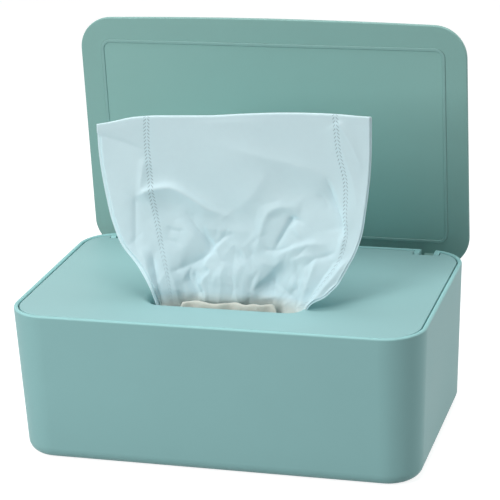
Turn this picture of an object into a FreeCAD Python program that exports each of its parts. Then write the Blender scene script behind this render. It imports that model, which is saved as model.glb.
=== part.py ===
import FreeCAD, Part
import math
import os

import Sketcher

# Wipes dispenser: a drafted tub, an inset cover with a rolled slot, a hinged lid standing open,
# a stack of folded wipes inside, the top one popped up in the slot and one wipe drawn out.
# Millimetres. The origin is the middle of the tub's flat base, +Z is up, the front faces -Y
# and the long side runs along X. The lid is drawn shut and then turned open about its pins.

os.makedirs("parts", exist_ok=True)
doc = FreeCAD.newDocument("wipes_dispenser")
Vector = FreeCAD.Vector
UP = Vector(0, 0, 1)
SLACK = 1e-4  # how near two places count as one, in millimetres

# Driving sizes, in millimetres unless the name says otherwise
SIZES = [
    ("tub_length", 188.0, "over the rim, along X"),
    ("tub_depth", 118.0, "over the rim, along Y"),
    ("tub_height", 70.0, "base to rim"),
    ("tub_draft_inset", 2.7, "how far each wall leans in from rim to base"),
    ("tub_corner_radius", 18.0, "upright corners, at the rim"),
    ("tub_base_radius", 5.8, "round between walls and base"),
    ("tub_wall", 2.0, "wall thickness"),
    ("tub_floor", 2.2, "floor thickness"),
    ("rim_edge_radius", 0.8, "round on both edges of the rim"),
    ("bracket_width", 3.0, "seat bracket, along its wall"),
    ("bracket_reach", 5.6, "seat bracket, in from the rim line"),
    ("bracket_height", 10.0, "seat bracket, top to tip"),
    ("bracket_root", 1.2, "how far inside the rim line a bracket starts"),
    ("bracket_spacing", 52.0, "between brackets on a long wall"),
    ("cover_groove", 0.5, "open groove between rim and cover"),
    ("cover_drop", 0.3, "cover's top below the rim"),
    ("cover_thickness", 2.0, "cover's panel"),
    ("cover_edge_radius", 0.5, "round on the cover's outer edge"),
    ("skirt_height", 4.0, "cover's skirt, below the panel"),
    ("skirt_wall", 1.6, "cover's skirt"),
    ("seat_clearance", 0.1, "between skirt and brackets"),
    ("slot_length", 68.0, "slot's throat, along X"),
    ("slot_depth", 26.0, "slot's throat, along Y"),
    ("slot_corner_radius", 5.0, "slot's throat, corners"),
    ("slot_lead_in", 4.0, "round that rolls the cover into the slot"),
    ("slot_forward", 18.7, "slot's middle, in front of the tub's middle"),
    ("collar_wall", 1.6, "wall of the collar under the slot"),
    ("collar_height", 5.0, "collar, below the panel"),
    ("pin_inboard", 2.6, "hinge pin's centre, in from the rear rim line"),
    ("pin_below_rim", 8.8, "hinge pin's centre, below the rim"),
    ("pin_diameter", 2.5, "hinge pin"),
    ("pin_end_chamfer", 0.3, "hinge pin's ends"),
    ("pin_recess", 0.2, "pin's ends, inside the cheeks' outer faces"),
    ("pin_running_clearance", 0.05, "radial, pin in the lid's arm"),
    ("pin_seat_clearance", 0.01, "radial, pin in the tub's cheeks"),
    ("hinge_inset", 18.7, "middle of each hinge, in from the tub's end"),
    ("hinge_gap", 7.0, "between a hinge's two cheeks, and the notch in the rear wall"),
    ("cheek_thickness", 2.5, "each cheek"),
    ("cheek_reach", 7.5, "cheek's front, in from the rear rim line"),
    ("cheek_proud", 0.4, "cheek's top, above the cover"),
    ("cheek_below_pin", 6.0, "cheek's bottom, below the pin's centre"),
    ("cheek_top_radius", 1.2, "round on the cheek's front top edge"),
    ("cheek_clearance", 0.4, "between cheeks and the cover's notches"),
    ("arm_side_clearance", 0.3, "between the lid's arm and each cheek"),
    ("arm_root_reach", 6.8, "arm's root on the lid, forward from the rear rim line"),
    ("arm_stop_clearance", 0.1, "between the arm's knuckle and the notch's floor"),
    ("lid_end_inset", 0.5, "lid's ends, in from the rim's"),
    ("lid_overhang", 0.1, "lid's rear edge and the ends of its front edge, past the rim's"),
    ("lid_bow", 1.6, "how far the middle of the front edge bows out"),
    ("lid_corner_radius", 15.5, "lid's corners"),
    ("lid_thickness", 4.0, "lid, inside face to outside face"),
    ("lid_gap", 0.4, "shut lid above the rim"),
    ("lid_outer_radius", 2.5, "round on the lid's outside edge"),
    ("lid_inner_radius", 0.5, "round on the lid's inside edge"),
    ("lid_open_angle_deg", 87.0, "lid's turn from shut to the stop"),
    ("liner_inset", 10.0, "seal's outer line from the lid's sides and front"),
    ("liner_rear_inset", 12.0, "seal's outer line from the lid's rear edge"),
    ("liner_corner_radius", 5.0, "seal's outer line, corners"),
    ("liner_thickness", 2.4, "liner panel, flush with the lid's inside face"),
    ("seal_width", 1.6, "seal's section, across"),
    ("seal_proud", 0.35, "seal, out of the lid's inside face"),
    ("seal_edge_radius", 0.4, "round on the seal's free edges"),
    ("seal_clearance", 0.05, "seal to the groove's two walls"),
    ("wipe_end_room", 19.0, "folded wipe, in from the tub's ends at the rim"),
    ("wipe_side_room", 11.0, "folded wipe, in from the tub's long sides at the rim"),
    ("wipe_thickness", 0.8, "one layer"),
    ("wipe_layer_gap", 0.1, "between the two layers of a folded wipe"),
    ("wipe_stack_gap", 0.1, "between two folded wipes"),
    ("wipe_tail", 3.0, "how far the upper layer ends short of the lower one"),
    ("soft_clearance", 0.3, "between wipes that stand up and what is beside them"),
    ("drawn_height", 80.0, "drawn wipe, above the cover"),
    ("drawn_overlap", 12.0, "drawn wipe's lower end, below the cover's top"),
    ("drawn_width", 127.0, "drawn wipe, at its top"),
    ("drawn_lean", 9.5, "how far its top stands behind its foot"),
    ("drawn_thickness", 1.0, "drawn wipe, two layers"),
    ("drawn_end_clearance", 3.0, "drawn wipe to each end of the throat"),
    ("drawn_behind", 3.2, "middle of its foot, behind the throat's middle"),
    ("drawn_outer_slant_deg", 55.0, "its foot's outer fifths, out of the X direction"),
    ("drawn_inner_slant_deg", 8.0, "its foot's next fifths"),
    ("drawn_end_sweep_deg", 45.0, "turn of its foot's outer fifths"),
    ("next_thickness", 2.4, "next wipe's fold, its layers together"),
    ("next_width", 48.0, "next wipe's fold, at its top"),
    ("next_foot_width", 49.0, "next wipe's fold, where it leaves the stack"),
    ("next_swing", 2.6, "its fold's pleats, to either side"),
    ("next_aside", 2.5, "next wipe, right of the slot's middle"),
    ("next_below_cover", 1.2, "next wipe's top, below the cover's"),
    ("cut_overrun", 1.0, "how far cuts run past what they cut"),
]
WIPE_COUNT = 24
NEXT_PLEATS = 4
LOFT_DEGREE = 2

# The drawn wipe from the cover's top upwards: shares of its height, of its widening from foot
# to top, of its bend round the next wipe and of its lean
DRAWN_SHARES = [
    (0.0, 0.0, 1.0, 0.0),
    (0.06, 0.22, 0.86, 0.1),
    (0.15, 0.54, 0.58, 0.25),
    (0.32, 0.76, 0.3, 0.54),
    (0.54, 0.89, 0.15, 0.77),
    (0.78, 0.96, 0.09, 0.92),
    (1.0, 1.0, 0.07, 1.0),
]

# Sizes that follow from the driving ones
DERIVED = [
    ("rim_half_depth", "tub_depth / 2"),
    ("cover_top", "tub_height - cover_drop"),
    ("cover_underside", "cover_top - cover_thickness"),
    ("skirt_bottom", "cover_underside - skirt_height"),
    ("bracket_top", "skirt_bottom - seat_clearance"),
    ("cover_inset", "tub_wall + cover_groove"),
    ("cover_length", "tub_length - 2 * cover_inset"),
    ("cover_depth", "tub_depth - 2 * cover_inset"),
    ("cover_corner", "tub_corner_radius - cover_inset"),
    ("collar_bottom", "cover_underside - collar_height"),
    ("hinge_offset", "tub_length / 2 - hinge_inset"),
    ("pin_y", "rim_half_depth - pin_inboard"),
    ("pin_z", "tub_height - pin_below_rim"),
    ("knuckle_radius", "pin_inboard"),
    ("notch_floor", "pin_z - knuckle_radius - arm_stop_clearance"),
    ("cheek_front", "rim_half_depth - cheek_reach"),
    ("cheek_top", "cover_top + cheek_proud"),
    ("cheek_bottom", "pin_z - cheek_below_pin"),
    ("hinge_half_width", "hinge_gap / 2 + cheek_thickness"),
    ("arm_width", "hinge_gap - 2 * arm_side_clearance"),
    ("lid_inside", "tub_height + lid_gap"),
    ("lid_length", "tub_length - 2 * lid_end_inset"),
    ("lid_depth", "tub_depth + 2 * lid_overhang"),
    ("lid_half_length", "lid_length / 2"),
    ("lid_half_depth", "lid_depth / 2"),
    ("lid_bow_radius", "(lid_half_length ^ 2 + lid_bow ^ 2) / (2 * lid_bow)"),
    ("lid_bow_centre", "lid_bow_radius - lid_half_depth - lid_bow"),
    ("liner_middle_y", "(liner_inset - liner_rear_inset) / 2"),
    ("liner_well_length", "lid_length - 2 * liner_inset"),
    ("liner_well_depth", "lid_depth - liner_inset - liner_rear_inset"),
    ("liner_line", "seal_width + 2 * seal_clearance"),
    ("wipe_length", "tub_length - 2 * wipe_end_room"),
    ("wipe_fold_depth", "tub_depth - 2 * wipe_side_room"),
    ("wipe_pitch", "2 * wipe_thickness + wipe_layer_gap + wipe_stack_gap"),
    ("stack_bottom", "tub_floor + wipe_stack_gap"),
]

sheet = doc.addObject("Spreadsheet::Sheet", "Sizes")
for row, (alias, value, note) in enumerate(SIZES, start=1):
    sheet.set(f"A{row}", note)
    sheet.set(f"B{row}", str(value))
    sheet.setAlias(f"B{row}", alias)
for row, (alias, formula) in enumerate(DERIVED, start=len(SIZES) + 1):
    sheet.set(f"B{row}", f"={formula}")
    sheet.setAlias(f"B{row}", alias)
doc.recompute()


def size(alias):
    """The number in the sheet's cell of that name."""
    return float(getattr(sheet, alias))


def scoped(formula):
    """The formula with each of the sheet's names written as Sizes.name."""
    words = [alias for alias, *_ in SIZES + DERIVED]
    out = ""
    word = ""
    for letter in formula + " ":
        if letter.isalnum() or letter == "_":
            word += letter
            continue
        out += f"Sizes.{word}" if word in words else word
        out += letter
        word = ""
    return out.strip()


def number(formula):
    """The value of a formula in the sheet's names."""
    value = sheet.evalExpression(scoped(formula))
    return float(getattr(value, "Value", value))


def bind(thing, prop, formula):
    """Ties a property to a formula in the sheet's names."""
    thing.setExpression(prop, scoped(formula))


# Sketches and features


def new_body(label):
    body = doc.addObject("PartDesign::Body", label)
    body.Label = label
    return body


def origin_plane(body, role):
    return next(f for f in body.Origin.OriginFeatures if f.Role == role)


def new_sketch(body, name, role="XY_Plane", across="0", along="0", out="0"):
    """A sketch on one of the body's own planes, its origin moved by three formulas."""
    sketch = body.newObject("Sketcher::SketchObject", name)
    sketch.AttachmentSupport = (origin_plane(body, role), [""])
    sketch.MapMode = "FlatFace"
    for axis, formula in zip("xyz", (across, along, out)):
        if formula != "0":
            bind(sketch, f"AttachmentOffset.Base.{axis}", formula)
    return sketch


def hold(sketch, kind, geometry, point, formula):
    """Fixes one coordinate of a point from the sketch's origin. kind is DistanceX or DistanceY."""
    value = number(formula)
    if value >= 0:
        made = Sketcher.Constraint(kind, -1, 1, geometry, point, value)
    else:
        made = Sketcher.Constraint(kind, geometry, point, -1, 1, -value)
        formula = f"-({formula})"
    index = sketch.addConstraint(made)
    bind(sketch, f"Constraints[{index}]", formula)


def arc(x, y, radius, start_deg, end_deg):
    circle = Part.Circle(Vector(x, y, 0), UP, radius)
    return Part.ArcOfCircle(circle, math.radians(start_deg), math.radians(end_deg))


def join_round(sketch, pieces):
    """Joins each piece's end to the next one's start, in tangent."""
    for this, following in zip(pieces, pieces[1:] + pieces[:1]):
        sketch.addConstraint(Sketcher.Constraint("Tangent", this, 2, following, 1))


def set_radius(sketch, geometry, formula):
    index = sketch.addConstraint(Sketcher.Constraint("Radius", geometry, number(formula)))
    bind(sketch, f"Constraints[{index}]", formula)


def rounded_rectangle(sketch, length, depth, corner):
    """Four sides and four corner arcs about the sketch's origin."""
    radius = number(corner)
    x = number(length) / 2
    y = number(depth) / 2
    straight_x = x - radius
    straight_y = y - radius
    outline = [
        Part.LineSegment(Vector(-straight_x, -y, 0), Vector(straight_x, -y, 0)),
        arc(straight_x, -straight_y, radius, -90, 0),
        Part.LineSegment(Vector(x, -straight_y, 0), Vector(x, straight_y, 0)),
        arc(straight_x, straight_y, radius, 0, 90),
        Part.LineSegment(Vector(straight_x, y, 0), Vector(-straight_x, y, 0)),
        arc(-straight_x, straight_y, radius, 90, 180),
        Part.LineSegment(Vector(-x, straight_y, 0), Vector(-x, -straight_y, 0)),
        arc(-straight_x, -straight_y, radius, 180, 270),
    ]
    made = [sketch.addGeometry(piece, False) for piece in outline]
    bottom, low_right, right, high_right, top, high_left, left, low_left = made
    join_round(sketch, made)
    for side in (bottom, top):
        sketch.addConstraint(Sketcher.Constraint("Horizontal", side))
    for side in (right, left):
        sketch.addConstraint(Sketcher.Constraint("Vertical", side))
    for other in (high_right, high_left, low_left):
        sketch.addConstraint(Sketcher.Constraint("Equal", low_right, other))
    set_radius(sketch, low_right, corner)
    hold(sketch, "DistanceX", low_right, 3, f"({length}) / 2 - ({corner})")
    hold(sketch, "DistanceY", low_right, 3, f"({corner}) - ({depth}) / 2")
    hold(sketch, "DistanceX", high_left, 3, f"({corner}) - ({length}) / 2")
    hold(sketch, "DistanceY", high_left, 3, f"({depth}) / 2 - ({corner})")


def bowed_rectangle(sketch, length, depth, corner, bow_radius, bow_centre):
    """A rounded rectangle whose front side, at -Y, is an arc centred on the Y axis."""
    radius = number(corner)
    x = number(length) / 2
    y = number(depth) / 2
    big = number(bow_radius)
    middle = number(bow_centre)
    straight_x = x - radius
    straight_y = y - radius
    front_y = middle - math.sqrt((big - radius) ** 2 - straight_x ** 2)
    lean = math.degrees(math.asin(straight_x / (big - radius)))
    outline = [
        arc(0, middle, big, -90 - lean, -90 + lean),
        arc(straight_x, front_y, radius, -90 + lean, 0),
        Part.LineSegment(Vector(x, front_y, 0), Vector(x, straight_y, 0)),
        arc(straight_x, straight_y, radius, 0, 90),
        Part.LineSegment(Vector(straight_x, y, 0), Vector(-straight_x, y, 0)),
        arc(-straight_x, straight_y, radius, 90, 180),
        Part.LineSegment(Vector(-x, straight_y, 0), Vector(-x, front_y, 0)),
        arc(-straight_x, front_y, radius, 180, 270 - lean),
    ]
    made = [sketch.addGeometry(piece, False) for piece in outline]
    front, low_right, right, high_right, rear, high_left, left, low_left = made
    join_round(sketch, made)
    sketch.addConstraint(Sketcher.Constraint("Horizontal", rear))
    for side in (right, left):
        sketch.addConstraint(Sketcher.Constraint("Vertical", side))
    for other in (low_right, high_left, low_left):
        sketch.addConstraint(Sketcher.Constraint("Equal", high_right, other))
    set_radius(sketch, high_right, corner)
    set_radius(sketch, front, bow_radius)
    sketch.addConstraint(Sketcher.Constraint("PointOnObject", front, 3, -2))
    hold(sketch, "DistanceY", front, 3, bow_centre)
    hold(sketch, "DistanceX", high_right, 3, f"({length}) / 2 - ({corner})")
    hold(sketch, "DistanceY", high_right, 3, f"({depth}) / 2 - ({corner})")
    hold(sketch, "DistanceX", high_left, 3, f"({corner}) - ({length}) / 2")


def polygon(sketch, corners):
    """A closed outline through corners, each a pair of formulas from the sketch's origin."""
    places = [Vector(number(x), number(y), 0) for x, y in corners]
    following = places[1:] + places[:1]
    made = [sketch.addGeometry(Part.LineSegment(a, b), False) for a, b in zip(places, following)]
    for this, after in zip(made, made[1:] + made[:1]):
        sketch.addConstraint(Sketcher.Constraint("Coincident", this, 2, after, 1))
    for side, (x, y) in zip(made, corners):
        hold(sketch, "DistanceX", side, 1, x)
        hold(sketch, "DistanceY", side, 1, y)


def circle(sketch, radius):
    """A circle about the sketch's origin."""
    made = sketch.addGeometry(Part.Circle(Vector(0, 0, 0), UP, number(radius)), False)
    sketch.addConstraint(Sketcher.Constraint("Coincident", made, 3, -1, 1))
    set_radius(sketch, made, radius)


def extrude(body, kind, name, sketch, length, taper="0", reverse=False, midplane=False):
    """A Pad or Pocket of the sketch; the taper is the tangent of its wall's lean."""
    feature = body.newObject(f"PartDesign::{kind}", name)
    feature.Profile = sketch
    bind(feature, "Length", length)
    feature.Reversed = reverse
    feature.Midplane = midplane
    if taper != "0":
        bind(feature, "TaperAngle", f"atan({taper})")
    sketch.Visibility = False
    doc.recompute()
    return feature


def mirror(body, name, originals):
    """Repeats features on the other side of the YZ plane."""
    feature = body.newObject("PartDesign::Mirrored", name)
    feature.Originals = originals
    feature.MirrorPlane = (origin_plane(body, "YZ_Plane"), [""])
    body.Tip = feature
    doc.recompute()
    return feature


def edges_where(shape, test):
    return [f"Edge{i}" for i, edge in enumerate(shape.Edges, start=1) if test(edge.BoundBox)]


def dress(body, kind, name, test, amount):
    """A Fillet or Chamfer on every edge of the body whose box passes the test."""
    base = body.Tip
    feature = body.newObject(f"PartDesign::{kind}", name)
    feature.Base = (base, edges_where(base.Shape, test))
    bind(feature, "Radius" if kind == "Fillet" else "Size", amount)
    doc.recompute()
    return feature


def flat_at(height):
    """A test for edges that lie level at a height."""
    return lambda box: abs(box.ZMin - height) < SLACK and abs(box.ZMax - height) < SLACK


def within(box, half_length, half_depth):
    """Whether a box stays inside a rectangle about the Z axis."""
    far_x = max(abs(box.XMin), abs(box.XMax))
    far_y = max(abs(box.YMin), abs(box.YMax))
    return far_x < half_length and far_y < half_depth


# Tub


def make_tub():
    body = new_body("tub")
    lean = "tub_draft_inset / tub_height"
    outer = new_sketch(body, "tub_foot")
    rounded_rectangle(
        outer,
        "tub_length - 2 * tub_draft_inset",
        "tub_depth - 2 * tub_draft_inset",
        "tub_corner_radius - tub_draft_inset",
    )
    extrude(body, "Pad", "tub_block", outer, "tub_height", taper=lean)
    dress(body, "Fillet", "tub_base_round", flat_at(0), "tub_base_radius")

    shrink = f"(tub_draft_inset + tub_wall - tub_floor * {lean})"
    inner = new_sketch(body, "tub_hollow_foot", out="tub_floor")
    rounded_rectangle(
        inner,
        f"tub_length - 2 * {shrink}",
        f"tub_depth - 2 * {shrink}",
        f"tub_corner_radius - {shrink}",
    )
    extrude(
        body,
        "Pocket",
        "tub_hollow",
        inner,
        "tub_height - tub_floor",
        taper=lean,
        reverse=True,
    )
    floor = size("tub_floor")
    dress(body, "Fillet", "tub_floor_round", flat_at(floor), "tub_base_radius - tub_wall")
    dress(body, "Fillet", "tub_rim_round", flat_at(size("tub_height")), "rim_edge_radius")

    make_seat_brackets(body)
    make_hinge_cheeks(body)
    return body


def make_seat_brackets(body):
    """Small triangular brackets inside the rim that the cover's skirt sits on."""
    long_wall = []
    for side, sign in (("front", "-"), ("rear", "")):
        profile = [
            (f"{sign}(rim_half_depth - bracket_root)", "bracket_top"),
            (f"{sign}(rim_half_depth - bracket_reach)", "bracket_top"),
            (f"{sign}(rim_half_depth - bracket_root)", "bracket_top - bracket_height"),
        ]
        for place, along in (("middle", "0"), ("side", "bracket_spacing")):
            sketch = new_sketch(body, f"{side}_{place}_bracket_shape", "YZ_Plane", out=along)
            polygon(sketch, profile)
            pad = extrude(
                body, "Pad", f"{side}_{place}_bracket", sketch, "bracket_width", midplane=True
            )
            if place == "side":
                long_wall.append(pad)
    end = new_sketch(body, "end_bracket_shape", "XZ_Plane")
    polygon(
        end,
        [
            ("tub_length / 2 - bracket_root", "bracket_top"),
            ("tub_length / 2 - bracket_reach", "bracket_top"),
            ("tub_length / 2 - bracket_root", "bracket_top - bracket_height"),
        ],
    )
    end_pad = extrude(body, "Pad", "end_bracket", end, "bracket_width", midplane=True)
    mirror(body, "left_brackets", long_wall + [end_pad])


def make_hinge_cheeks(body):
    """Two cheeks and a notch through the rear wall at each hinge, bored for the pin."""
    features = []
    for place, sign in (("inner", "-"), ("outer", "+")):
        middle = f"hinge_offset {sign} (hinge_gap + cheek_thickness) / 2"
        sketch = new_sketch(body, f"{place}_cheek_shape", "YZ_Plane", out=middle)
        rear = "rim_half_depth - bracket_root"
        polygon(
            sketch,
            [
                (rear, "cheek_bottom"),
                (rear, "cheek_top - cheek_top_radius"),
                (f"{rear} - cheek_top_radius", "cheek_top"),
                ("cheek_front + cheek_top_radius", "cheek_top"),
                ("cheek_front", "cheek_top - cheek_top_radius"),
                ("cheek_front", "pin_z"),
            ],
        )
        features.append(
            extrude(
                body, "Pad", f"{place}_cheek", sketch, "cheek_thickness", midplane=True
            )
        )
    notch = new_sketch(body, "wall_notch_shape", "YZ_Plane", out="hinge_offset")
    polygon(
        notch,
        [
            ("cheek_front", "notch_floor"),
            ("rim_half_depth + cut_overrun", "notch_floor"),
            ("rim_half_depth + cut_overrun", "tub_height + cut_overrun"),
            ("cheek_front", "tub_height + cut_overrun"),
        ],
    )
    features.append(
        extrude(body, "Pocket", "wall_notch", notch, "hinge_gap", midplane=True)
    )
    bore = new_sketch(
        body, "cheek_bore_shape", "YZ_Plane", across="pin_y", along="pin_z", out="hinge_offset"
    )
    circle(bore, "pin_diameter / 2 + pin_seat_clearance")
    features.append(
        extrude(
            body,
            "Pocket",
            "cheek_bore",
            bore,
            "2 * hinge_half_width + 2 * cut_overrun",
            midplane=True,
        )
    )
    mirror(body, "left_hinge", features)


# Cover with the slot


def make_cover():
    body = new_body("slot_cover")
    panel = new_sketch(body, "panel_outline", out="cover_underside")
    rounded_rectangle(panel, "cover_length", "cover_depth", "cover_corner")
    extrude(body, "Pad", "panel", panel, "cover_thickness")
    dress(body, "Fillet", "panel_edge", flat_at(size("cover_top")), "cover_edge_radius")

    skirt = new_sketch(body, "skirt_outline", out="skirt_bottom")
    rounded_rectangle(skirt, "cover_length", "cover_depth", "cover_corner")
    rounded_rectangle(
        skirt,
        "cover_length - 2 * skirt_wall",
        "cover_depth - 2 * skirt_wall",
        "cover_corner - skirt_wall",
    )
    extrude(body, "Pad", "skirt", skirt, "skirt_height")

    collar = new_sketch(body, "collar_outline", along="-slot_forward", out="collar_bottom")
    rounded_rectangle(
        collar,
        "slot_length + 2 * collar_wall",
        "slot_depth + 2 * collar_wall",
        "slot_corner_radius + collar_wall",
    )
    extrude(body, "Pad", "collar", collar, "collar_height")

    throat = new_sketch(body, "throat_outline", along="-slot_forward", out="cover_top")
    rounded_rectangle(throat, "slot_length", "slot_depth", "slot_corner_radius")
    extrude(body, "Pocket", "throat", throat, "cover_thickness + collar_height + cut_overrun")

    top = size("cover_top")
    reach_x = size("slot_length") / 2 + size("slot_lead_in")
    reach_y = size("slot_forward") + size("slot_depth") / 2 + size("slot_lead_in")
    dress(
        body,
        "Fillet",
        "slot_roll",
        lambda box: flat_at(top)(box) and within(box, reach_x, reach_y),
        "slot_lead_in",
    )

    notch = new_sketch(body, "hinge_notch_shape", across="hinge_offset", out="cover_top")
    half = "hinge_half_width + cheek_clearance"
    polygon(
        notch,
        [
            (f"-({half})", "cheek_front - cheek_clearance"),
            (half, "cheek_front - cheek_clearance"),
            (half, "rim_half_depth"),
            (f"-({half})", "rim_half_depth"),
        ],
    )
    cut = extrude(
        body, "Pocket", "hinge_notch", notch, "cover_thickness + skirt_height + cut_overrun"
    )
    mirror(body, "left_hinge_notch", [cut])
    return body


# Lid, drawn shut


def make_lid_shell():
    body = new_body("lid_shell")
    outline = new_sketch(body, "lid_outline", out="lid_inside")
    bowed_rectangle(
        outline,
        "lid_length",
        "lid_depth",
        "lid_corner_radius",
        "lid_bow_radius",
        "lid_bow_centre",
    )
    extrude(body, "Pad", "lid_slab", outline, "lid_thickness")
    outside = size("lid_inside") + size("lid_thickness")
    dress(body, "Fillet", "lid_outer_round", flat_at(outside), "lid_outer_radius")
    dress(body, "Fillet", "lid_inner_round", flat_at(size("lid_inside")), "lid_inner_radius")

    well = new_sketch(body, "liner_well_outline", along="liner_middle_y", out="lid_inside")
    rounded_rectangle(well, "liner_well_length", "liner_well_depth", "liner_corner_radius")
    extrude(body, "Pocket", "liner_well", well, "liner_thickness", reverse=True)

    arm = new_sketch(body, "arm_shape", "YZ_Plane", out="hinge_offset")
    polygon(
        arm,
        [
            ("pin_y - knuckle_radius", "pin_z"),
            ("pin_y + knuckle_radius", "pin_z"),
            ("rim_half_depth", "lid_inside + lid_inner_radius"),
            ("rim_half_depth - arm_root_reach", "lid_inside + lid_inner_radius"),
        ],
    )
    arm_pad = extrude(body, "Pad", "arm", arm, "arm_width", midplane=True)
    knuckle = new_sketch(
        body, "knuckle_shape", "YZ_Plane", across="pin_y", along="pin_z", out="hinge_offset"
    )
    circle(knuckle, "knuckle_radius")
    knuckle_pad = extrude(body, "Pad", "knuckle", knuckle, "arm_width", midplane=True)
    bore = new_sketch(
        body, "arm_bore_shape", "YZ_Plane", across="pin_y", along="pin_z", out="hinge_offset"
    )
    circle(bore, "pin_diameter / 2 + pin_running_clearance")
    bore_cut = extrude(
        body, "Pocket", "arm_bore", bore, "arm_width + 2 * cut_overrun", midplane=True
    )
    mirror(body, "left_arm", [arm_pad, knuckle_pad, bore_cut])
    return body


def make_lid_liner():
    """The panel inside the lid, flush with its inside face, that the seal runs round."""
    body = new_body("lid_liner")
    outline = new_sketch(body, "liner_outline", along="liner_middle_y", out="lid_inside")
    rounded_rectangle(
        outline,
        "liner_well_length - 2 * liner_line",
        "liner_well_depth - 2 * liner_line",
        "liner_corner_radius - liner_line",
    )
    extrude(body, "Pad", "liner_panel", outline, "liner_thickness")
    return body


def make_lid_seal():
    """The soft ring in the line between shell and liner, standing a little out of the lid."""
    body = new_body("lid_seal")
    ring = new_sketch(
        body, "seal_outline", along="liner_middle_y", out="lid_inside - seal_proud"
    )
    for inset in ("seal_clearance", "seal_clearance + seal_width"):
        rounded_rectangle(
            ring,
            f"liner_well_length - 2 * ({inset})",
            f"liner_well_depth - 2 * ({inset})",
            f"liner_corner_radius - ({inset})",
        )
    extrude(body, "Pad", "seal_ring", ring, "liner_thickness + seal_proud")
    free_face = size("lid_inside") - size("seal_proud")
    dress(body, "Fillet", "seal_edges", flat_at(free_face), "seal_edge_radius")
    return body


def open_lid(body):
    """Turns a piece drawn on the shut lid to the open stop, about the pins' axis."""
    turn = "lid_open_angle_deg"
    body.Placement.Rotation = FreeCAD.Rotation(Vector(1, 0, 0), -size(turn))
    bind(body, "Placement.Rotation.Angle", f"-{turn}")
    bind(body, "Placement.Base.y", f"pin_y - pin_y * cos({turn}) - pin_z * sin({turn})")
    bind(body, "Placement.Base.z", f"pin_z + pin_y * sin({turn}) - pin_z * cos({turn})")


# Hinge pins


def make_pin(label, side):
    """A plain pin through two cheeks and the arm between them; side is 1 right, -1 left."""
    body = new_body(label)
    middle = "hinge_offset" if side > 0 else "-hinge_offset"
    section = new_sketch(
        body, f"{label}_section", "YZ_Plane", across="pin_y", along="pin_z", out=middle
    )
    circle(section, "pin_diameter / 2")
    extrude(
        body,
        "Pad",
        f"{label}_rod",
        section,
        "2 * (hinge_half_width - pin_recess)",
        midplane=True,
    )
    dress(
        body,
        "Chamfer",
        f"{label}_ends",
        lambda box: box.XLength < SLACK,
        "pin_end_chamfer",
    )
    return body


# Wipes


def new_solid(label, shape, place=None):
    feature = doc.addObject("Part::Feature", label)
    feature.Label = label
    feature.Shape = shape
    feature.Placement = place or FreeCAD.Placement()
    return feature


def folded_wipe_shape():
    """One wipe folded in half about a line along X: two layers joined by a round fold."""
    thickness = size("wipe_thickness")
    gap = size("wipe_layer_gap")
    fold_radius = thickness + gap / 2
    half = size("wipe_fold_depth") / 2
    fold_y = half - fold_radius
    tail_y = size("wipe_tail") - half
    whole = 2 * thickness + gap

    def at(y, z):
        return Vector(-size("wipe_length") / 2, y, z)

    outer_tip = at(half, fold_radius)
    inner_tip = at(fold_y + gap / 2, fold_radius)
    edges = [
        Part.makeLine(at(-half, 0), at(fold_y, 0)),
        Part.Arc(at(fold_y, 0), outer_tip, at(fold_y, whole)).toShape(),
        Part.makeLine(at(fold_y, whole), at(tail_y, whole)),
        Part.makeLine(at(tail_y, whole), at(tail_y, thickness + gap)),
        Part.makeLine(at(tail_y, thickness + gap), at(fold_y, thickness + gap)),
        Part.Arc(at(fold_y, thickness + gap), inner_tip, at(fold_y, thickness)).toShape(),
        Part.makeLine(at(fold_y, thickness), at(-half, thickness)),
        Part.makeLine(at(-half, thickness), at(-half, 0)),
    ]
    return Part.Face(Part.Wire(edges)).extrude(Vector(size("wipe_length"), 0, 0))


def stack_place(index):
    """Where a wipe lies in the stack: every other one is turned round, so that the folds alternate."""
    height = size("stack_bottom") + index * size("wipe_pitch")
    return FreeCAD.Placement(Vector(0, 0, height), FreeCAD.Rotation(UP, 180 * (index % 2)))


def make_stack():
    """All wipes that lie flat; the one on top of them is the next wipe."""
    shape = folded_wipe_shape()
    return [
        new_solid(f"folded_wipe_{index + 1:02d}", shape, stack_place(index))
        for index in range(WIPE_COUNT - 1)
    ]


def ribbon_wire(width, slants, first_sweep, middle, thickness):
    """A closed ribbon seen from above, along a line of arcs that run into each other in tangent.

    width is its extent along X. slants are the directions of the arcs' chords from +X, in
    degrees, the same backwards with the sign changed; the chords are equally long. first_sweep
    is the first arc's turn to the left in degrees, from which the others' follow. middle is
    the middle of the chords.
    """
    chord = width / sum(math.cos(math.radians(slant)) for slant in slants)
    rise = sum(chord * math.sin(math.radians(slant)) for slant in slants if slant > 0)
    node = middle - Vector(width / 2, rise, 0)
    sweep = first_sweep
    previous = slants[0]
    left_side = []
    right_side = []
    for slant in slants:
        sweep = 2 * (slant - previous) - sweep if left_side else sweep
        previous = slant
        along = turned(slant)
        following = node + along * chord
        sagitta = chord / 2 * math.tan(math.radians(sweep / 4))
        for side, offset in ((left_side, thickness / 2), (right_side, -thickness / 2)):
            start = node + turned(slant - sweep / 2 + 90) * offset
            crest = (node + following) / 2 + turned(slant + 90) * (offset - sagitta)
            end = following + turned(slant + sweep / 2 + 90) * offset
            side.append((start, crest, end))
        node = following
    edges = [Part.Arc(*points).toShape() for points in left_side]
    edges.append(Part.makeLine(left_side[-1][-1], right_side[-1][-1]))
    edges += [Part.Arc(*reversed(points)).toShape() for points in reversed(right_side)]
    edges.append(Part.makeLine(right_side[0][0], left_side[0][0]))
    return Part.Wire(edges)


def turned(angle_deg):
    """The level unit vector at that angle from +X."""
    return Vector(math.cos(math.radians(angle_deg)), math.sin(math.radians(angle_deg)), 0)


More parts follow.
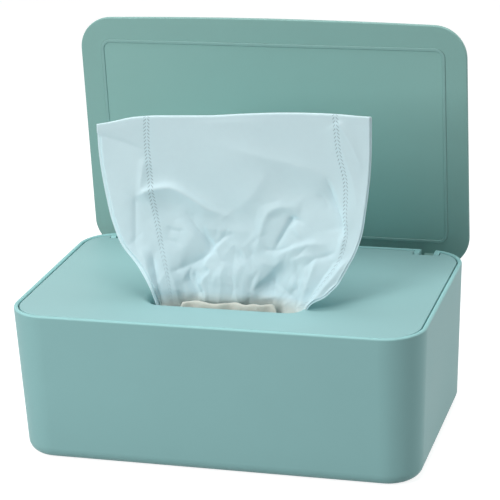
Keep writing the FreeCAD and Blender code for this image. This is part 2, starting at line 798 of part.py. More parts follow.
def make_drawn_wipe():
    """The wipe drawn out of the slot: bent forward round the next one, fanned out above the cover."""
    top = size("cover_top")
    foot_width = size("slot_length") - 2 * size("drawn_end_clearance")
    middle_y = size("drawn_behind") - size("slot_forward")
    wires = []
    foot_share = -size("drawn_overlap") / size("drawn_height")
    foot_rows = [(share, *DRAWN_SHARES[0][1:]) for share in (foot_share, foot_share / 2)]
    for height_share, fan_share, bend_share, lean_share in foot_rows + DRAWN_SHARES:
        place = Vector(
            0,
            middle_y + lean_share * size("drawn_lean"),
            top + height_share * size("drawn_height"),
        )
        outer = bend_share * size("drawn_outer_slant_deg")
        inner = bend_share * size("drawn_inner_slant_deg")
        wires.append(
            ribbon_wire(
                foot_width + fan_share * (size("drawn_width") - foot_width),
                (outer, inner, 0, -inner, -outer),
                -bend_share * size("drawn_end_sweep_deg"),
                place,
                size("drawn_thickness"),
            )
        )
    return new_solid("wipe_drawn", Part.makeLoft(wires, True, False, False, LOFT_DEGREE))


def make_next_wipe():
    """The wipe on top of the stack, with a fold of it popped up into the front of the throat."""
    flat_part = folded_wipe_shape()
    flat_part.Placement = stack_place(WIPE_COUNT - 1)
    root = flat_part.BoundBox.ZMax - size("wipe_thickness") / 2
    middle_y = size("next_swing") + size("next_thickness") / 2 + size("soft_clearance")
    middle_y -= size("slot_forward") + size("slot_depth") / 2
    low = Vector(size("next_aside"), middle_y, root)
    high = Vector(size("next_aside"), middle_y, size("cover_top") - size("next_below_cover"))
    wires = []
    for width, place in ((size("next_foot_width"), low), (size("next_width"), high)):
        sweep = 4 * math.degrees(math.atan(2 * size("next_swing") * NEXT_PLEATS / width))
        wires.append(
            ribbon_wire(width, (0,) * NEXT_PLEATS, sweep, place, size("next_thickness"))
        )
    fold = Part.makeLoft(wires, True, False)
    return new_solid("wipe_next", flat_part.fuse(fold).Solids[0])


def build():
    pieces = [make_tub(), make_cover()]
    lid = [make_lid_shell(), make_lid_liner(), make_lid_seal()]
    for piece in lid:
        open_lid(piece)
    pieces += lid
    pieces += [make_pin("hinge_pin_right", 1), make_pin("hinge_pin_left", -1)]
    pieces += make_stack()
    pieces += [make_next_wipe(), make_drawn_wipe()]
    return pieces


def check_and_export(pieces):
    doc.recompute()
    broken = [o.Name for o in doc.Objects if {"Invalid", "Error"} & set(o.State)]
    if broken:
        raise RuntimeError(f"failed objects: {broken}")
    for piece in pieces:
        shape = piece.Shape
        if shape.isNull() or not shape.isValid() or shape.Volume <= 0:
            raise RuntimeError(f"{piece.Label} has no sound shape")
    for piece in pieces:
        shape = piece.Shape
        box = shape.BoundBox
        print(
            f"{piece.Label}: {len(shape.Solids)} solid, {shape.Volume / 1000:.2f} cm3, "
            f"x {box.XMin:.1f}..{box.XMax:.1f}, y {box.YMin:.1f}..{box.YMax:.1f}, "
            f"z {box.ZMin:.1f}..{box.ZMax:.1f}"
        )
        shape.exportStep(f"parts/{piece.Label}.step")


check_and_export(build())
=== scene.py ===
"""Wipes box: a drafted tub, an inset cover with a slot, a hinged lid, a stack of folded wipes and
one wipe drawn out.

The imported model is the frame. Its hard parts keep their shape and get their finishes here, and the
cloth pieces are built here as surfaces over two parameters. Lengths are in metres in Blender and
in millimetres inside the shape functions.
"""

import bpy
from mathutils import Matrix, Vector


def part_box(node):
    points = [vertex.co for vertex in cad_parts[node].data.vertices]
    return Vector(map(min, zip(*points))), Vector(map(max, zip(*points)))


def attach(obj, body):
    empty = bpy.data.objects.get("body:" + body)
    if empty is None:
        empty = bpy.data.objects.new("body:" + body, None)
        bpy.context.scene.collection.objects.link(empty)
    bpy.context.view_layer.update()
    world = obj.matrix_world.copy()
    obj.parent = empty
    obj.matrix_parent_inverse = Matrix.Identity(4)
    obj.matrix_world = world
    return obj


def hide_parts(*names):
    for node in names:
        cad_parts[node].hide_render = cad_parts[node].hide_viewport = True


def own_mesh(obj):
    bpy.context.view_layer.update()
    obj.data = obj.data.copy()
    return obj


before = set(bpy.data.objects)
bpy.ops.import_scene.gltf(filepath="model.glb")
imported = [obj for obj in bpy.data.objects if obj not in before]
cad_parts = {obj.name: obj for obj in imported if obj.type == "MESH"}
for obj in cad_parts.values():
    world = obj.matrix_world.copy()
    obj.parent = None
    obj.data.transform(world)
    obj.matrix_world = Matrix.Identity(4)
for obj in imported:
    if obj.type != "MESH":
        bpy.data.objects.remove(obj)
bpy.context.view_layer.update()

import bpy
import numpy as np
from bpy.props import FloatProperty, FloatVectorProperty, IntProperty, PointerProperty
from mathutils import Matrix, Vector

bl_info = {
    "name": "Wipes Box",
    "version": (1, 0, 0),
    "blender": (4, 5, 0),
    "location": "3D View > Sidebar > Wipes Box",
    "description": "Finishes a moulded wipes box and makes its folded and drawn wipes",
    "category": "Add Mesh",
}

MM = 0.001
STACK_NAMES = sorted(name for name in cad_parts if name.startswith("folded_wipe_"))


def colour(red, green, blue):
    """A screen colour from 0 to 255 as the linear values that a shader takes."""
    share = np.array([red, green, blue]) / 255
    linear = np.where(share <= 0.04045, share / 12.92, ((share + 0.055) / 1.055) ** 2.4)
    return tuple(float(v) for v in linear)


# Surfaces

# The noise's square grid: cells along each side, and the cell at x = 0, z = 0
NOISE_CELLS = 95
NOISE_START = (40, 20)
# Points round a fold, its two ends among them
FOLD_STEPS = 7


def blend_in(value, low, high):
    """Zero below low, one above high, and a smooth S between them."""
    t = np.clip((value - low) / (high - low), 0, 1)
    return t * t * (3 - 2 * t)


def table_curve(rows, column, at):
    """A smooth curve through one column of a table whose first column is the place, by cubic
    Hermite pieces."""
    rows = np.asarray(rows, float)
    place, value = rows[:, 0], rows[:, column]
    slope = np.gradient(value, place)
    at = np.clip(at, place[0], place[-1])
    k = np.clip(np.searchsorted(place, at, side="right") - 1, 0, len(place) - 2)
    step = place[k + 1] - place[k]
    t = (at - place[k]) / step
    return (
        value[k] * (1 + 2 * t) * (1 - t) ** 2
        + slope[k] * step * t * (1 - t) ** 2
        + value[k + 1] * t * t * (3 - 2 * t)
        + slope[k + 1] * step * t * t * (t - 1)
    )


def rounded_path(points):
    """A polyline with its corners cut at a quarter and three quarters of each run."""
    p = np.asarray(points, float)
    a, b = p[:-1], p[1:]
    cut = np.stack([0.75 * a + 0.25 * b, 0.25 * a + 0.75 * b], 1).reshape(-1, p.shape[1])
    return np.concatenate([p[:1], cut, p[-1:]])


def along_path(points, x, z):
    """For each place, its distance from a polyline, positive on the left of its direction, and the
    share of the line's length at the nearest point."""
    a, d = points[:-1], np.diff(points, axis=0)
    run = np.hypot(d[:, 0], d[:, 1])
    start = np.concatenate([[0], np.cumsum(run)[:-1]])
    rx, rz = x[..., None] - a[:, 0], z[..., None] - a[:, 1]
    t = np.clip((rx * d[:, 0] + rz * d[:, 1]) / run**2, 0, 1)
    gap = np.hypot(rx - t * d[:, 0], rz - t * d[:, 1])
    k = gap.argmin(-1)[..., None]
    side = np.take_along_axis(d[:, 0] * rz - d[:, 1] * rx, k, -1)[..., 0]
    gap = np.take_along_axis(gap, k, -1)[..., 0]
    share = np.take_along_axis((start + t * run) / run.sum(), k, -1)[..., 0]
    return np.where(side >= 0, gap, -gap), share


def crease(x, z, points, lift, left, right, round_off, start, end):
    """A crest or, with a negative lift, a valley along a polyline. Its height falls as the
    exponential of minus the distance over the width of that side, with the top rounded off, and
    fades out at both ends of the line."""
    away, share = along_path(rounded_path(points), x, z)
    far = np.sqrt(away**2 + round_off**2) - round_off
    width = np.where(away >= 0, left, right)
    fade = blend_in(share, -0.001, start) * (1 - blend_in(share, 1 - end, 1.001))
    return lift * fade * np.exp(-far / width)


def dent(x, z, centre, radii, turn, lift):
    """A rounded hollow or swelling: lift times the exponential of minus the squared distance in a
    turned ellipse."""
    c, s = np.cos(np.radians(turn)), np.sin(np.radians(turn))
    dx, dz = x - centre[0], z - centre[1]
    along, across = (dx * c + dz * s) / radii[0], (dz * c - dx * s) / radii[1]
    return lift * np.exp(-(along**2) - across**2)


def soft_noise(x, z, pitch, seed):
    """Smooth random heights from minus one to one: random values on a square grid of the given
    pitch, blended by S curves."""
    values = np.random.default_rng(seed).uniform(-1, 1, (NOISE_CELLS + 1, NOISE_CELLS + 1))
    gx, gz = x / pitch + NOISE_START[0], z / pitch + NOISE_START[1]
    ix, iz = np.floor(gx).astype(int), np.floor(gz).astype(int)
    tx, tz = blend_in(gx - ix, 0, 1), blend_in(gz - iz, 0, 1)
    ix, iz = ix % NOISE_CELLS, iz % NOISE_CELLS
    low = values[ix, iz] * (1 - tx) + values[ix + 1, iz] * tx
    high = values[ix, iz + 1] * (1 - tx) + values[ix + 1, iz + 1] * tx
    return low * (1 - tz) + high * tz


def grid_normals(p):
    """The unit normal at each point of a grid: the cross product of its two directions, rows
    first."""
    n = np.cross(np.gradient(p, axis=0), np.gradient(p, axis=1))
    return n / np.maximum(np.linalg.norm(n, axis=-1, keepdims=True), 1e-12)


def smoothed(p, passes):
    """A grid whose every value is averaged with its four neighbours, as many times as asked."""
    for _ in range(passes):
        q = np.pad(p, ((1, 1), (1, 1)) + ((0, 0),) * (p.ndim - 2), mode="edge")
        p = (4 * p + q[2:, 1:-1] + q[:-2, 1:-1] + q[1:-1, 2:] + q[1:-1, :-2]) / 8
    return p


def cloth_mesh(name, middle, thickness, run=None):
    """A closed sheet from the grid of its middle surface, in millimetres: the grid moved half the
    thickness to each side along its normals, and a rim that joins the two. The UV map holds each
    point's place on the flat sheet, in metres: across it by even steps, and along it by even steps
    or by the run that is given."""
    rows, columns = middle.shape[:2]
    flat_u = np.broadcast_to(np.linspace(0, FLAT_WIDTH, columns)[None, :], (rows, columns))
    run = np.linspace(0, FLAT_LENGTH, rows) if run is None else run
    flat_v = np.broadcast_to(run[:, None], (rows, columns))
    shift = grid_normals(middle) * thickness / 2
    sides = np.concatenate([(middle + shift).reshape(-1, 3), (middle - shift).reshape(-1, 3)])
    index = np.arange(rows * columns).reshape(rows, columns)
    a, b, c, d = index[:-1, :-1], index[:-1, 1:], index[1:, 1:], index[1:, :-1]
    front = np.stack([a, d, c, b], -1).reshape(-1, 4)
    back = np.stack([a, b, c, d], -1).reshape(-1, 4) + rows * columns
    ring = np.concatenate([index[0, :-1], index[:-1, -1], index[-1, :0:-1], index[:0:-1, 0]])
    after = np.roll(ring, -1)
    rim = np.stack([ring, after, after + rows * columns, ring + rows * columns], -1)
    faces = np.concatenate([front, back, rim])
    mesh = bpy.data.meshes.new(name)
    mesh.from_pydata((sides * MM).tolist(), [], faces.tolist())
    uv = mesh.uv_layers.new(name="flat_sheet")
    places = np.tile(np.stack([flat_u, flat_v], -1).reshape(-1, 2) * MM, (2, 1))
    uv.data.foreach_set("uv", places[faces.reshape(-1)].astype(np.float32).ravel())
    mesh.polygons.foreach_set("use_smooth", np.ones(len(faces), bool))
    mesh.update()
    if mesh.validate():
        raise RuntimeError(f"{name}: the sheet's mesh was not valid")
    return mesh


def link_object(name, data):
    """A new object for mesh, lamp or camera data, in the scene."""
    item = bpy.data.objects.new(name, data)
    bpy.context.scene.collection.objects.link(item)
    return item


def add_piece(name, mesh, material, body, slot, *nodes):
    """Puts a finished mesh in the scene, on its body, in place of its nodes."""
    piece = link_object(name, mesh)
    mesh.materials.append(material)
    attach(piece, body)
    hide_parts(*nodes)
    return piece


# The drawn wipe

# The flat sheet that every wipe is cut to, and the places of its two embossed bands as shares of
# its width
FLAT_WIDTH, FLAT_LENGTH = 150.0, 190.0
BAND_SHARES = (0.153, 0.889)
# Height, left and right edge, depth of the edges and of the middle, power of the bow between them
DRAWN_OUTLINE = [
    (57.7, -30.0, 30.4, -29.6, -18.0, 5.0),
    (66.0, -30.8, 32.6, -29.8, -20.2, 5.0),
    (70.0, -32.2, 37.4, -29.8, -21.4, 4.4),
    (75.4, -34.6, 45.0, -29.2, -20.0, 3.6),
    (78.5, -36.7, 48.6, -27.8, -18.8, 3.2),
    (84.5, -41.7, 53.4, -24.2, -15.8, 2.9),
    (91.3, -49.2, 56.9, -20.4, -12.6, 2.8),
    (100.8, -54.8, 60.1, -16.2, -9.6, 2.6),
    (112.7, -58.6, 61.7, -12.7, -7.6, 2.5),
    (130.3, -61.7, 63.3, -10.1, -6.3, 2.4),
    (152.0, -62.4, 63.7, -8.4, -5.4, 2.4),
]
# Height of the top fold along the width
DRAWN_TOP = [
    (-64.0, 143.9), (-54.3, 145.5), (-47.7, 146.9), (-40.2, 147.8), (-25.3, 148.4), (-10.6, 148.9),
    (4.0, 150.1), (22.1, 151.4), (41.7, 152.0), (64.0, 152.0),
]
# Creases on the drawn wipe: points (across, height), lift, width on the left and right of the
# line's direction, rounding of the crest, and the shares of its length over which it fades in
# and out
DRAWN_CREASES = [
    # long crest at the left with a soft hollow under it
    ([(-45.2, 111.7), (-40.7, 114.4), (-36.2, 115.8), (-29.8, 116.8), (-25.3, 115.6),
      (-20.8, 113.0), (-15.3, 109.6), (-11.6, 107.1), (-4.3, 104.7), (3.0, 104.2)],
     2.5, 1.5, 7.5, 0.45, 0.1, 0.4),
    # soft diagonals of the flat upper part
    ([(-16.0, 137.5), (-1.9, 135.4), (12.6, 132.0), (25.3, 129.5), (34.4, 127.4), (48.1, 124.0)],
     0.9, 3.5, 10.0, 1.2, 0.4, 0.3),
    ([(18.0, 128.0), (13.8, 121.5), (8.6, 113.4), (0.2, 105.0)], 1.1, 5.0, 8.0, 1.5, 0.4, 0.3),
    ([(-62.6, 140.4), (-58.3, 138.9), (-52.0, 137.2), (-45.7, 135.0), (-36.4, 131.0)],
     -0.4, 1.0, 4.0, 0.3, 0.02, 0.5),
    ([(-40.9, 130.8), (-42.2, 121.6), (-43.4, 113.3)], 0.9, 2.4, 1.4, 0.5, 0.3, 0.3),
    ([(48.2, 150.4), (53.6, 141.9), (57.1, 135.1), (60.8, 125.7)], 0.7, 1.6, 4.5, 0.5, 0.1, 0.4),
    ([(47.0, 147.0), (50.5, 137.0), (56.5, 121.0), (58.0, 104.0)], 0.5, 2.0, 3.5, 0.6, 0.3, 0.4),
    # arch at the right and the dark crease inside it
    ([(10.8, 86.0), (11.2, 90.4), (12.6, 95.8), (14.0, 103.0), (16.9, 107.6), (21.5, 109.9),
      (27.5, 109.8), (32.0, 107.0)], 1.1, 2.4, 2.2, 0.6, 0.3, 0.3),
    ([(29.0, 107.0), (26.6, 103.4), (24.3, 99.3), (21.0, 94.0), (18.5, 89.0)],
     -1.5, 1.6, 1.0, 0.3, 0.2, 0.35),
    ([(27.0, 104.0), (31.0, 99.0), (33.0, 95.0)], 0.9, 3.0, 3.0, 0.6, 0.3, 0.4),
    # slanting valleys left of the middle, and the tongue between them
    ([(-23.5, 107.0), (-20.8, 103.2), (-15.4, 97.1), (-7.1, 89.6)],
     -2.1, 3.0, 2.0, 0.35, 0.55, 0.1),
    ([(-6.8, 89.6), (-11.5, 87.0), (-15.3, 85.1), (-21.0, 82.6), (-28.8, 79.6)],
     -1.9, 1.6, 2.6, 0.35, 0.08, 0.4),
    ([(-6.0, 91.4), (-12.8, 83.9), (-8.0, 80.9), (-13.6, 76.6), (-10.6, 70.7), (-11.8, 62.0)],
     1.5, 7.0, 0.9, 0.3, 0.15, 0.15),
    ([(-16.8, 83.4), (-15.9, 77.0), (-11.6, 69.5)], -1.6, 1.2, 2.4, 0.3, 0.3, 0.2),
    ([(6.9, 90.0), (4.2, 80.7), (3.2, 74.5), (4.5, 66.0)], 1.1, 5.0, 5.0, 0.8, 0.3, 0.2),
    # hollow at the right of the middle with its sharp upper edge
    ([(4.6, 67.4), (7.0, 71.2), (14.3, 78.6), (21.7, 86.0), (26.0, 89.0)],
     1.8, 3.6, 1.8, 0.4, 0.6, 0.2),
    ([(2.0, 90.7), (4.9, 86.4), (8.3, 86.8), (11.3, 91.3)], -0.9, 1.8, 2.6, 0.4, 0.3, 0.3),
    ([(18.7, 86.6), (24.0, 90.2), (30.0, 92.6), (37.5, 95.0), (46.1, 95.2)],
     1.7, 1.6, 4.0, 0.4, 0.25, 0.3),
    ([(26.0, 86.0), (33.0, 89.2), (40.0, 90.4)], 0.9, 1.4, 2.6, 0.4, 0.3, 0.4),
    # crease beside the right band
    ([(42.4, 125.3), (44.9, 118.3), (47.2, 112.4), (51.0, 104.0), (52.0, 97.0)],
     -2.2, 1.1, 4.2, 0.3, 0.35, 0.25),
    ([(52.0, 112.0), (52.6, 103.0), (51.6, 95.0), (47.6, 88.0)], 1.1, 2.0, 2.6, 0.45, 0.3, 0.4),
    # folds that fan up from the right end of the slot
    ([(49.6, 91.0), (43.8, 82.8), (37.6, 74.1), (34.6, 66.0)], -1.7, 1.4, 2.2, 0.3, 0.3, 0.1),
    ([(41.6, 92.7), (38.4, 83.6), (35.5, 74.6), (32.6, 66.0)], 1.4, 1.6, 2.0, 0.35, 0.3, 0.1),
    ([(30.3, 87.5), (31.0, 78.6), (31.4, 71.5), (29.5, 63.0)], -1.5, 2.0, 1.8, 0.35, 0.3, 0.1),
    ([(24.6, 74.0), (27.0, 70.0), (27.4, 63.0)], 1.0, 1.6, 1.8, 0.4, 0.3, 0.1),
    ([(57.0, 93.0), (51.0, 85.0), (44.5, 77.3), (37.4, 68.0)], 1.6, 1.4, 2.2, 0.35, 0.3, 0.1),
    ([(54.0, 84.0), (48.6, 80.4), (43.0, 74.0)], -0.9, 1.0, 1.6, 0.3, 0.3, 0.2),
    # folds that fan up from its left end
    ([(-36.8, 89.4), (-33.2, 81.0), (-30.2, 72.3), (-28.4, 64.0)], -2.0, 1.1, 1.8, 0.3, 0.25, 0.1),
    ([(-42.6, 92.0), (-37.0, 81.9), (-32.2, 71.4), (-30.1, 62.0)], 1.1, 1.8, 1.6, 0.5, 0.3, 0.1),
    ([(-45.4, 112.7), (-45.2, 101.3), (-43.6, 88.1)], -0.8, 2.4, 1.1, 0.3, 0.15, 0.4),
    ([(-26.5, 80.0), (-23.5, 71.0), (-22.5, 61.0)], 1.1, 2.6, 2.6, 0.6, 0.4, 0.1),
    ([(-38.6, 104.0), (-34.0, 95.0), (-30.5, 87.0)], 0.5, 3.0, 3.0, 0.8, 0.4, 0.4),
    # narrow sharp creases between them
    ([(-8.0, 91.5), (-3.6, 95.6), (1.5, 97.2)], -0.8, 0.7, 1.6, 0.2, 0.2, 0.5),
    ([(24.5, 104.6), (29.6, 105.0), (34.4, 102.6)], -0.8, 0.7, 1.8, 0.2, 0.3, 0.4),
    ([(12.8, 92.4), (17.0, 90.4), (24.6, 91.8), (31.0, 95.2)], -0.9, 0.8, 1.6, 0.2, 0.25, 0.4),
    ([(-17.6, 84.4), (-19.4, 78.6), (-15.2, 73.4), (-13.4, 66.0)], -0.9, 0.7, 1.8, 0.2, 0.2, 0.2),
    ([(-31.5, 99.0), (-26.2, 96.6), (-21.0, 97.8)], -0.6, 0.8, 1.8, 0.2, 0.3, 0.4),
    ([(33.4, 84.0), (37.8, 88.4), (44.0, 90.6), (50.6, 93.6)], -1.0, 0.8, 1.6, 0.2, 0.25, 0.35),
    ([(0.6, 80.2), (2.6, 74.8), (1.4, 69.0)], -0.7, 0.8, 1.6, 0.2, 0.3, 0.3),
    ([(38.0, 118.0), (42.6, 113.6), (44.6, 107.0)], -0.6, 0.9, 2.4, 0.25, 0.35, 0.35),
    # small pleats of the middle above the slot
    ([(-21.0, 99.4), (-8.0, 98.2), (4.0, 97.4), (11.0, 98.6)], 0.6, 1.8, 4.0, 0.6, 0.3, 0.3),
    ([(-4.0, 84.0), (-3.4, 76.0), (-4.6, 66.0)], 0.7, 1.8, 2.6, 0.6, 0.3, 0.2),
    ([(14.0, 69.8), (19.0, 71.6), (25.0, 72.6)], 0.9, 1.6, 2.2, 0.5, 0.3, 0.3),
]
# Hollows: centre, half widths, turn in degrees, lift
DRAWN_DENTS = [
    ((-28.0, 107.5), (11.0, 5.5), -18, -1.6),
    ((19.5, 79.0), (10.0, 5.2), 38, -4.6),
    ((28.5, 118.0), (13.0, 8.0), -25, -1.0),
    ((-20.0, 92.0), (8.0, 6.0), 35, 1.0),
    ((42.0, 84.0), (7.0, 5.0), 55, 0.9),
    ((-48.0, 120.0), (9.0, 14.0), 0, 0.7),
    ((22.0, 70.5), (8.0, 5.5), 30, -2.4),
    ((-16.5, 79.5), (5.5, 6.0), 0, -1.3),
]
# Height, and where the two embossed bands stand at that height
BANDS = [
    (57.7, -25.2, 30.0), (67.6, -26.1, 32.4), (74.7, -27.2, 39.9), (81.5, -29.2, 45.7),
    (89.9, -32.3, 51.4), (98.1, -34.4, 53.4), (109.1, -37.0, 52.4), (124.3, -38.7, 51.8),
    (133.3, -39.4, 49.4), (152.0, -39.0, 47.2),
]
# How close a band may come to the left and to the right edge
BAND_MARGINS = (2.0, 1.2)
# The front layer's edges lie this far inside the back layer's, left and right, and the left ones
# meet between these two heights
FRONT_SLIP = (1.5, 0.5)
SLIP_HEIGHTS = (138.6, 140.6)
# Short creases: how many, the seed, half the slot's width, and where they lie
SMALL_CREASES, SMALL_SEED = 110, 41
SLOT_HALF_WIDTH = 31
FAN_HEIGHTS = (68, 80)
CRUMPLED_WIDTH, CRUMPLED_HEIGHTS = (-48, 54), (74, 112)
# Ridged noise: pitch, lean, height and seed, and the heights between which it fades to an eighth
RIDGES = ((15.0, 0.5, 0.42, 3), (8.0, -0.6, 0.2, 8), (5.0, 0.3, 0.08, 14))
RIDGE_HEIGHTS = (66, 118)
# Share of the way up from which the folds calm down towards the top fold
CALM_FROM = 0.965


def small_creases():
    """Seeded short creases: a third of them fan up from the slot, the rest lie at random over the
    crumpled lower part. Each is three points along a slightly bent line, with its lift, its width
    and the share of it on the other side."""
    draw = np.random.default_rng(SMALL_SEED)
    count = SMALL_CREASES
    fan = np.arange(count) % 3 == 0
    foot = draw.uniform(-1, 1, count)
    x = np.where(fan, SLOT_HALF_WIDTH * foot, draw.uniform(*CRUMPLED_WIDTH, count))
    z = np.where(fan, draw.uniform(*FAN_HEIGHTS, count), draw.uniform(*CRUMPLED_HEIGHTS, count))
    x = np.where(fan, x * (1 + (z - 66) / 40), x)
    lean = np.where(fan, 48 * foot + draw.uniform(-14, 14, count), draw.uniform(-80, 80, count))
    length = draw.uniform(7, 17, count)
    bend = draw.uniform(-1.2, 1.2, count)
    run = np.stack([np.sin(np.radians(lean)), np.cos(np.radians(lean))], -1) * length[:, None] / 2
    middle = np.stack([x, z], -1)
    side = np.stack([run[:, 1], -run[:, 0]], -1) * (bend / length)[:, None] * 2
    lines = np.stack([middle - run, middle + side, middle + run], 1)
    lift = draw.uniform(0.15, 0.45, count) * np.where(draw.random(count) < 0.55, -1, 1)
    lift = lift * np.where(z > 98, 0.5, 1)
    return zip(lines, lift, draw.uniform(0.5, 1.2, count), draw.uniform(1.2, 2.6, count))


def drawn_folds(x, z):
    """How far the front of the drawn wipe stands forward of its smooth bow: the sum of its creases
    and hollows, of ridged noise, which is one less twice the size of a soft noise, and of one broad
    soft wave."""
    d = np.zeros_like(x)
    for points, lift, left, right, round_off, start, end in DRAWN_CREASES:
        d += crease(x, z, points, lift, left, right, round_off, start, end)
    for line, lift, width, share in small_creases():
        d += crease(x, z, line, lift, width, width * share, 0.25, 0.35, 0.35)
    for centre, radii, turn, lift in DRAWN_DENTS:
        d += dent(x, z, centre, radii, turn, lift)
    low = 1 - blend_in(z, *RIDGE_HEIGHTS)
    for pitch, lean, height, seed in RIDGES:
        ridge = 1 - 2 * np.abs(soft_noise(x + lean * z, z - 0.4 * lean * x, pitch, seed))
        d += (0.12 + 0.88 * low) * height * ridge
    return d + 0.35 * soft_noise(x, z, 26.0, 5)


def drawn_layer(share_u, share_v, left_inset, right_inset):
    """One layer of the drawn wipe without its folds: the height is a share of the way from the foot
    to the top fold, the width runs between the edges through both embossed bands, and the depth
    bows forward towards the edges. Width and height need each other, so they are found in three
    rounds."""
    foot, head = DRAWN_OUTLINE[0][0], DRAWN_OUTLINE[-1][0]
    z = foot + (head - foot) * share_v
    for _ in range(3):
        left = table_curve(DRAWN_OUTLINE, 1, z) + left_inset(z)
        right = table_curve(DRAWN_OUTLINE, 2, z) - right_inset(z)
        band_left, band_right = table_curve(BANDS, 1, z), table_curve(BANDS, 2, z)
        stops = (0.0, *BAND_SHARES, 1.0)
        band_left = np.maximum(band_left, left + BAND_MARGINS[0])
        band_right = np.minimum(band_right, right - BAND_MARGINS[1])
        marks = (left, band_left, band_right, right)
        x = np.select(
            [share_u <= stops[1], share_u <= stops[2]],
            [
                marks[0] + (marks[1] - marks[0]) * share_u / stops[1],
                marks[1] + (marks[2] - marks[1]) * (share_u - stops[1]) / (stops[2] - stops[1]),
            ],
            marks[2] + (marks[3] - marks[2]) * (share_u - stops[2]) / (stops[3] - stops[2]),
        )
        z = foot + (table_curve(DRAWN_TOP, 1, x) - foot) * share_v
    edge = np.where(x < 0, table_curve(DRAWN_OUTLINE, 1, z), table_curve(DRAWN_OUTLINE, 2, z))
    bow = np.clip(np.abs(x / edge), 0, 1.03) ** table_curve(DRAWN_OUTLINE, 5, z)
    middle, end = table_curve(DRAWN_OUTLINE, 4, z), table_curve(DRAWN_OUTLINE, 3, z)
    return np.stack([x, middle + (end - middle) * bow, z], -1)


def drawn_surface(rows, back_rows, columns, layer_gap):
    """The middle surface of the drawn wipe, one sheet folded double: up the front, over the top
    fold in a half circle, and down the back. Each layer is the bowed one moved forward by its
    folds, and the back one is moved back by the gap between them, which halves at the edges."""
    u = np.linspace(0, 1, columns)[None, :]
    v = np.linspace(0, 1, rows)[:, None]
    share_u, share_v = np.broadcast_to(u, (rows, columns)), np.broadcast_to(v, (rows, columns))
    front = drawn_layer(
        share_u,
        share_v,
        lambda z: FRONT_SLIP[0] * (1 - blend_in(z, *SLIP_HEIGHTS)),
        lambda z: FRONT_SLIP[1] + 0 * z,
    )
    out = grid_normals(front)
    out = np.where(out[..., 1:2] > 0, -out, out)
    calm = 1 - blend_in(share_v, CALM_FROM, 1.0)
    folds = drawn_folds(front[..., 0], front[..., 2]) * (0.25 + 0.75 * calm)
    front = front + out * folds[..., None]
    v = np.linspace(1, 0, back_rows)[:, None]
    share_u = np.broadcast_to(u, (back_rows, columns))
    share_v = np.broadcast_to(v, (back_rows, columns))
    back = drawn_layer(share_u, share_v, lambda z: 0 * z, lambda z: 0 * z)
    out = grid_normals(back)
    out = smoothed(np.where(out[..., 1:2] > 0, -out, out), 6)
    calm = 1 - blend_in(share_v, CALM_FROM, 1.0)
    folds = smoothed(drawn_folds(back[..., 0], back[..., 2]), 2) * (0.25 + 0.75 * calm)
    edge_share = np.minimum(share_u, 1 - share_u)
    waves = 0.25 * soft_noise(back[..., 0], back[..., 2], 11.0, 21)
    folds += waves * calm * blend_in(edge_share, 0, 0.1)
    near_edge = 1 - blend_in(edge_share, 0.0, 0.12)
    back = back + out * (folds - layer_gap * (1 - 0.5 * near_edge))[..., None]
    turn = np.linspace(0, np.pi, FOLD_STEPS)[1:-1][:, None, None]
    ends = (front[-1] + back[0]) / 2
    reach = (front[-1] - back[0]) / 2
    lift = np.array([0, 0, 1]) * np.linalg.norm(reach, axis=-1, keepdims=True)
    over = ends + reach * np.cos(turn) + lift * np.sin(turn)
    return np.concatenate([front, over, back])


# The folded wipes

# How far the ends of a wipe lie inside its solid's
END_INSET = 0.8
# How far the upper layer ends short of the lower one
TAIL = 3.0
# Depth at which the next wipe's fold stands, the places across the width between which it rises
# and falls, how far its crest stands above its solid's, and how far that leans back
STAND = -27.6
RISE, FALL = (-26.5, -19.5), (21.0, 28.5)
CREST_OVER = 1.3
CREST_LEAN = 1.7
# How far from its middle, to each side, the fold leaves the flat layer, and its ruffles: place,
# width and lift
FOOT_HALF = 2.0
RUFFLES = ((13.0, 3.0, 1.6), (23.5, 2.2, 1.3))
# How far above the flat wipe under it the next wipe's upper layer lies
NEXT_LOFT = 1.8


def folded_surface(low, high, fold_side, thickness, seed):
    """The middle surface of one wipe folded double and laid flat: along the lower layer, round the
    fold and back along the upper one. Each layer is level but for a low random wave, and its edges
    stray a little from straight."""
    columns, half = 37, 21
    x = np.linspace(low[0] + END_INSET, high[0] - END_INSET, columns)[None, :]
    gap = high[2] - low[2] - thickness
    radius = gap / 2
    start, stop = (high[1], low[1]) if fold_side < 0 else (low[1], high[1])
    fold = stop - np.sign(stop - start) * (radius + thickness / 2)
    share = np.linspace(0, 1, half)[:, None]
    stray = lambda a, b, k: soft_noise(a, b, 23.0, seed * 7 + k)
    x_low = x + 0.5 * stray(x * 0, share * 90, 1)
    y_low = start + (fold - start) * share + 0 * x
    y_low = y_low - np.sign(start) * (0.6 + 0.5 * stray(x, x * 0, 2)) * (1 - share)
    z_low = low[2] + thickness / 2 + 0.06 * (1 + stray(x, y_low, 3))
    y_high = fold + (start - np.sign(start) * TAIL - fold) * share + 0 * x
    y_high = y_high - np.sign(start) * (0.6 + 0.5 * stray(x, x * 0, 4)) * share
    x_high = x + 0.5 * stray(x * 0, share * 90 + 90, 5)
    z_high = high[2] - thickness / 2 - 0.06 * (1 + stray(x, y_high, 6))
    turn = np.linspace(0, np.pi, FOLD_STEPS)[1:-1][:, None]
    y_turn = fold + np.sign(stop - start) * radius * np.sin(turn) + 0 * x
    blend = (1 - np.cos(turn)) / 2
    z_turn = z_low[-1] * (1 - blend) + z_high[0] * blend
    x_turn = x_low[-1] * (1 - blend) + x_high[0] * blend
    return np.stack([
        np.concatenate([x_low + 0 * y_low, x_turn, x_high + 0 * y_high]),
        np.concatenate([y_low, y_turn, y_high]),
        np.concatenate([z_low, z_turn, z_high]),
    ], -1)


